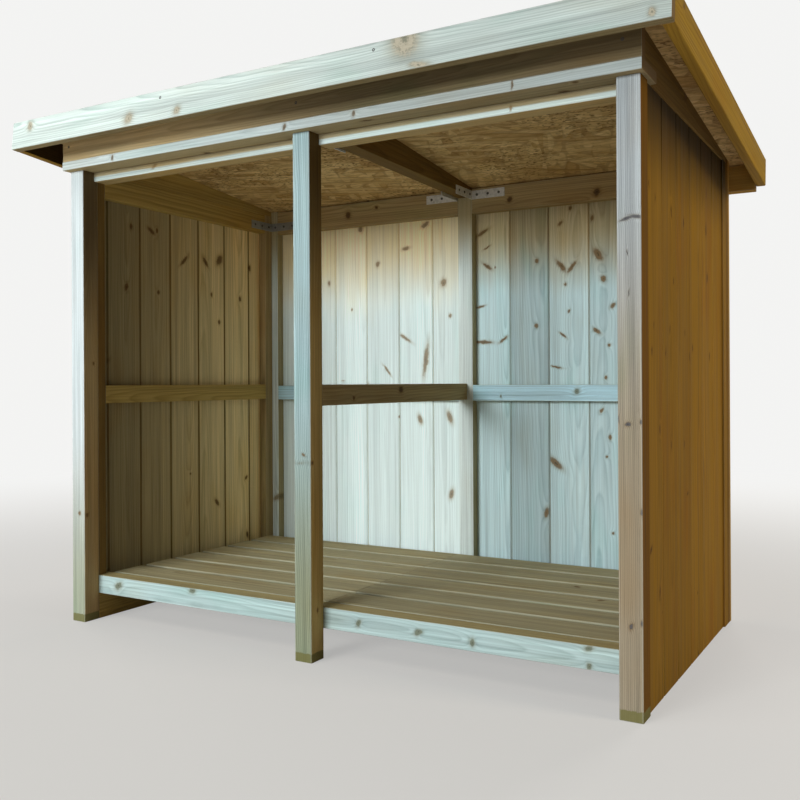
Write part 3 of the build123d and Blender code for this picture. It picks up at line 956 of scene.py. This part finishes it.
def board_piece(section, run, inward, face, low, high):
    """A board grown from its outline, with its top cut to the roof's fall on the back wall."""
    fall = math.tan(SLOPE) if run == ACROSS else 0.0
    piece = bmesh.new()
    foot = []
    for step, inset in section:
        spot = run * step + inward * inset + face
        foot.append(piece.verts.new((spot.x, spot.y, low.z)))
    grown = bmesh.ops.extrude_face_region(piece, geom=[piece.faces.new(foot)])
    for item in grown["geom"]:
        if isinstance(item, bmesh.types.BMVert):
            item.co.z = high.z - (item.co.y - low.y) * fall
    bmesh.ops.recalc_face_normals(piece, faces=piece.faces)
    cut_stations(piece, UP)
    return piece


def boarding(name, node, look, tones, knot_size, scatter_top):
    """A wall of tongued and grooved boards, each with its own grain."""
    low, high = [Vector(corner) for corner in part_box(node)]
    run, inward, face = wall_directions(node, low, high)
    start, end = low.dot(run), high.dot(run)
    seams = []
    seam = start + FIRST_SEAMS[node]
    while seam < end - 2.0 * JOINT_HALF:
        seams.append(seam)
        seam += BOARD_COVER
    lines = [start, *seams, end]
    pieces = []
    for index, (from_line, to_line) in enumerate(zip(lines, lines[1:])):
        gap = dice.uniform(LEAST_GAP, MOST_GAP)
        section = board_section(from_line, to_line, index == 0, index == len(seams), gap)
        piece = board_piece(section, run, inward, face, low, high)
        seed = dice.uniform(0.0, SEED_REACH)
        write_marks(piece, UP, inward, seed, float(index), tones[index % len(tones)])
        pieces.append(piece)
    placed = {}
    for plane, group in KNOTS[name].items():
        boards = [float(sum(line < knot[0] * MM for line in seams)) for knot in group]
        placed[plane] = [(*knot, board) for knot, board in zip(group, boards)]
    material = wood(name + "_wood", look, placed, False, 0.3, knot_size, scatter_top)
    make_object(name, pieces, material, [node])


def dress_front():
    stick("post_left", "front_post_left", UP, BACK, "silver_post", foot=True)
    stick("post_centre", "front_post_centre", UP, BACK, "mint_post", foot=True)
    stick("post_right", "front_post_right", UP, BACK, "grey_post", foot=True)
    stick("top_plate", "front_top_plate", ACROSS, BACK, "plate")
    stick("header", "front_header_board", ACROSS, BACK, "header", scatter=0.06)
    stick("head_rails", "front_head_rails", ACROSS, BACK, "head_rail")


def dress_floor():
    for side in SIDES:
        stick(f"floor_rail_{side}", f"floor_front_rail_{side}", ACROSS, BACK, "mint_rail")
        stick(f"slats_{side}", f"floor_slats_{side}", ACROSS, UP, "slat")
    stick("bearers", "floor_bearers", BACK, UP, "slat")


def dress_roof_timber():
    stick("fascia", "roof_fascia_front", ACROSS, DOWNSLOPE, "fascia")
    stick("bargeboard_left", "roof_bargeboard_left", DOWNSLOPE, ACROSS, "shaded_board")
    stick("bargeboard_right", "roof_bargeboard_right", DOWNSLOPE, ACROSS, "golden_board")
    stick("back_board", "roof_back_board", ACROSS, DOWNSLOPE, "golden_board")
    stick("firring_centre", "centre_firring", BACK, ACROSS, "shaded_frame")
    stick("firring_left", "left_firring", BACK, ACROSS, "warm_lit_frame")
    stick("firring_right", "right_firring", BACK, ACROSS, "shaded_frame")


def dress_side_frames():
    for side in SIDES:
        post_look, stile_look = CORNER_LOOKS[side]
        stick(f"{side}_rear_post", f"{side}_wall_rear_post", UP, BACK, post_look, scatter=0.05)
        stick(f"{side}_stud", f"{side}_wall_front_stud", UP, BACK, "shaded_frame")
        for level in ("top", "mid", "bottom"):
            stick(f"{side}_{level}_rail", f"{side}_wall_{level}_rail", BACK, ACROSS, "warm_lit_frame")
        stick(f"stile_{side}", f"back_wall_stile_{side}", UP, BACK, stile_look, scatter=0.05)


def dress_back_frame():
    for side in SIDES:
        node = f"back_wall_top_rail_{side}"
        stick(f"back_top_rail_{side}", node, ACROSS, BACK, "brown_frame")
    stick("back_stud", "back_wall_centre_stud", UP, BACK, "pale_stud", scatter=0.04)
    stick("back_mid_rails", "back_wall_mid_rails", ACROSS, BACK, "blue_rail")
    stick("back_bottom_rails", "back_wall_bottom_rails", ACROSS, BACK, "brown_frame")
    stick("divider_rail", "divider_mid_rail", BACK, ACROSS, "brown_frame")


def dress_boards():
    """Each wall's boards, with the tone of each board and the size and top of loose knots."""
    boarding("left_boards", "left_wall_boards", "tan_wall",
             (-0.10, -0.06, 0.0, 0.06, 0.04, 0.10, 0.06), 0.006, 0.75)
    boarding("right_boards", "right_wall_boards", "golden_wall",
             (-0.04, -0.10, -0.06, 0.02, 0.10, 0.14), 0.004, 0.45)
    boarding("back_boards_left", "back_wall_boards_left", "cream_wall",
             (0.04, 0.0, 0.05, 0.07, 0.03, 0.06, 0.05), 0.008, 0.62)
    boarding("back_boards_right", "back_wall_boards_right", "mint_wall",
             (0.16, 0.16, -0.20, 0.02, -0.08, 0.0, 0.04), 0.008, 0.42)


def fastener(place, facing, head):
    """A round head that stands on a face, with its drive sunk in where it's a screw."""
    radius, height, drive = head
    outline = [(radius, -HEAD_SINK), (radius, height * 0.4), (radius * 0.8, height)]
    if drive:
        outline += [(radius * 0.42, height), (radius * 0.32, height - drive)]
    spot = Matrix.Translation(place) @ facing.to_track_quat("Z", "Y").to_matrix().to_4x4()
    piece = bmesh.new()
    rings = []
    for reach, lift in outline:
        ring = []
        for step in range(HEAD_SIDES):
            angle = 2.0 * math.pi * step / HEAD_SIDES
            point = Vector((reach * math.cos(angle), reach * math.sin(angle), lift))
            ring.append(piece.verts.new(spot @ point))
        rings.append(ring)
    for lower, upper in zip(rings, rings[1:]):
        for step in range(HEAD_SIDES):
            after = (step + 1) % HEAD_SIDES
            piece.faces.new((lower[step], lower[after], upper[after], upper[step]))
    piece.faces.new(rings[0][::-1])
    piece.faces.new(rings[-1])
    return piece


def bracket_screws():
    """Three screws in each leg of every bracket, set out from the corner of its bend."""
    heads = []
    for node, turns in BRACKET_LEGS.items():
        for piece, (to_x, to_y) in zip(solids_of(node), turns):
            reach = reach_of(piece)
            piece.free()
            corner_x = min(reach[0]) if to_x > 0.0 else max(reach[0])
            corner_y = min(reach[1]) if to_y > 0.0 else max(reach[1])
            leg = max(reach[0]) - min(reach[0])
            corner = Vector((corner_x, corner_y, (min(reach[2]) + max(reach[2])) / 2.0))
            for share in LEG_SHARES:
                on_back = corner + Vector((to_x * leg * share, to_y * STEEL_THICKNESS, 0.0))
                on_side = corner + Vector((to_x * STEEL_THICKNESS, to_y * leg * share, 0.0))
                heads.append(fastener(on_back, BACK * to_y, PAN_HEAD))
                heads.append(fastener(on_side, ACROSS * to_x, PAN_HEAD))
    return heads


def timber_screws():
    """Sunk screws that hold the fascia and the header board."""
    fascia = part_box("roof_fascia_front")[0]
    foot_level = fascia[2] + FASCIA_THICKNESS * math.sin(SLOPE)
    heads = []
    for x, z in FASCIA_SCREWS:
        place = Vector((x, fascia[1] + (z - foot_level) * math.tan(SLOPE), z))
        heads.append(fastener(place, -DOWNSLOPE, SUNK_HEAD))
    header_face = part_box("front_header_board")[0][1]
    for x, z in HEADER_SCREWS:
        heads.append(fastener(Vector((x, header_face, z)), -BACK, SUNK_HEAD))
    return heads


def wall_nails():
    """Pairs of nails that hold the back boards to their rails, seen from behind."""
    rails = ("back_wall_top_rail_left", "back_wall_mid_rails", "back_wall_bottom_rails")
    levels = [(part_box(rail)[0][2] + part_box(rail)[1][2]) / 2.0 for rail in rails]
    heads = []
    for node in ("back_wall_boards_left", "back_wall_boards_right"):
        low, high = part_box(node)
        middle = low[0] + FIRST_SEAMS[node] - BOARD_COVER / 2.0
        while middle < high[0]:
            for x in (middle - NAIL_PAIR, middle + NAIL_PAIR):
                if low[0] < x < high[0]:
                    heads += [fastener(Vector((x, high[1], z)), BACK, NAIL_HEAD) for z in levels]
            middle += BOARD_COVER
    return heads


def felt_lap(felt, zinc):
    """The lap where two sheets of felt meet halfway down the roof, and its clout nails."""
    low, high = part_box("roof_felt")
    halfway = (low[1] + high[1]) / 2.0
    centre = Vector((0.0, halfway, high[2] - (halfway - low[1]) * math.tan(SLOPE)))
    width = high[0] - low[0] - 2.0 * FELT_INSET
    size = Matrix.Diagonal((width, FELT_LAP, FELT_THICKNESS, 1.0))
    lift = FELT_THICKNESS * 0.4
    spot = Matrix.Translation(centre + OFF_ROOF * lift) @ Matrix.Rotation(-SLOPE, 4, "X")
    strip = bmesh.new()
    bmesh.ops.create_cube(strip, size=1.0, matrix=spot @ size)
    make_object("felt_lap", [strip], felt, [])
    nail_line = centre + DOWNSLOPE * FELT_LAP * 0.3 + OFF_ROOF * (lift + FELT_THICKNESS / 2.0)
    count = int(width / FELT_NAIL_STEP)
    steps = [(index - (count - 1) / 2.0) * FELT_NAIL_STEP for index in range(count)]
    heads = [fastener(nail_line + ACROSS * step, OFF_ROOF, NAIL_HEAD) for step in steps]
    make_object("clout_nails", heads, zinc, [])


def paint_node(node, material):
    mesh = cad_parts[node].data
    if not mesh.materials:
        mesh.materials.append(material)
    for index in range(len(mesh.materials)):
        mesh.materials[index] = material


def dress_roof_and_steel():
    felt = roofing_felt()
    zinc = galvanised("galvanised_steel", 1.1)
    dull = galvanised("dull_steel", 0.42)
    paint_node("roof_deck", strand_board())
    paint_node("roof_felt", felt)
    for node in BRACKET_LEGS:
        paint_node(node, zinc)
    paint_node("angle_brackets_corner", galvanised("weathered_steel", 0.78))
    felt_lap(felt, zinc)
    make_object("bracket_screws", bracket_screws(), dull, [])
    make_object("timber_screws", timber_screws(), dull, [])
    make_object("wall_nails", wall_nails(), zinc, [])


def place_camera():
    """The photograph's own viewpoint, some 1.7 metres from the right-hand post."""
    level = math.cos(CAMERA_PITCH)
    ahead = Vector((
        -math.sin(CAMERA_YAW) * level, math.cos(CAMERA_YAW) * level, -math.sin(CAMERA_PITCH)
    ))
    right = Vector((math.cos(CAMERA_YAW), math.sin(CAMERA_YAW), 0.0))
    up = right.cross(ahead)
    rolled_right = right * math.cos(CAMERA_ROLL) + up * math.sin(CAMERA_ROLL)
    rolled_up = up * math.cos(CAMERA_ROLL) - right * math.sin(CAMERA_ROLL)
    turn = Matrix((rolled_right, rolled_up, -ahead)).transposed()
    data = bpy.data.cameras.new("camera")
    data.sensor_width = CAMERA_SENSOR
    data.lens = CAMERA_LENS
    data.shift_y = CAMERA_SHIFT
    camera = bpy.data.objects.new("camera", data)
    camera.matrix_world = Matrix.Translation(CAMERA_PLACE) @ turn.to_4x4()
    bpy.context.scene.collection.objects.link(camera)
    bpy.context.scene.camera = camera


def studio_lamps():
    """Soft windows on every side: a broad one in front and a warmer one on the right."""
    for name, (place, target, size, power, colour) in LAMPS.items():
        data = bpy.data.lights.new(name, "AREA")
        data.shape = "RECTANGLE"
        data.size, data.size_y = size
        data.energy = power
        data.color = colour
        lamp = bpy.data.objects.new(name, data)
        aim = (Vector(target) - Vector(place)).to_track_quat("-Z", "Y")
        lamp.matrix_world = Matrix.Translation(place) @ aim.to_matrix().to_4x4()
        lamp.visible_camera = False
        lamp.visible_glossy = False
        bpy.context.scene.collection.objects.link(lamp)


def room_light():
    """Dim even light from all round, before a pale backdrop."""
    world = bpy.data.worlds.new("studio")
    bpy.context.scene.world = world
    g = Graph(world, "ShaderNodeOutputWorld")
    room = g.source("ShaderNodeBackground", ROOM_COLOUR, Strength=ROOM_STRENGTH)
    backdrop = g.source("ShaderNodeBackground", BACKDROP)
    g.show_mixed(g.seen(), room, backdrop)


def pale_floor():
    """A disc that shows the backdrop's colour under the shadows that it catches."""
    bpy.ops.mesh.primitive_circle_add(vertices=96, radius=FLOOR_RADIUS, fill_type="NGON")
    floor = bpy.context.object
    floor.name = "floor"
    g = surface_graph("pale_floor")
    x, y, z = g.split(g.object_place())
    far = g.span(g.length(x, y), *GLOW_REACH, FLOOR_GLOW, 1.0)
    matt = g.source("ShaderNodeBsdfDiffuse", FLOOR_COLOUR)
    glow = g.source("ShaderNodeEmission", BACKDROP)
    g.show_mixed(g.times(far, g.seen()), matt, glow)
    floor.data.materials.append(g.owner)


def main():
    place_camera()
    dress_front()
    dress_floor()
    dress_roof_timber()
    dress_side_frames()
    dress_back_frame()
    dress_boards()
    dress_roof_and_steel()
    studio_lamps()
    room_light()
    pale_floor()
    bpy.context.scene.view_settings.view_transform = "Standard"


main()
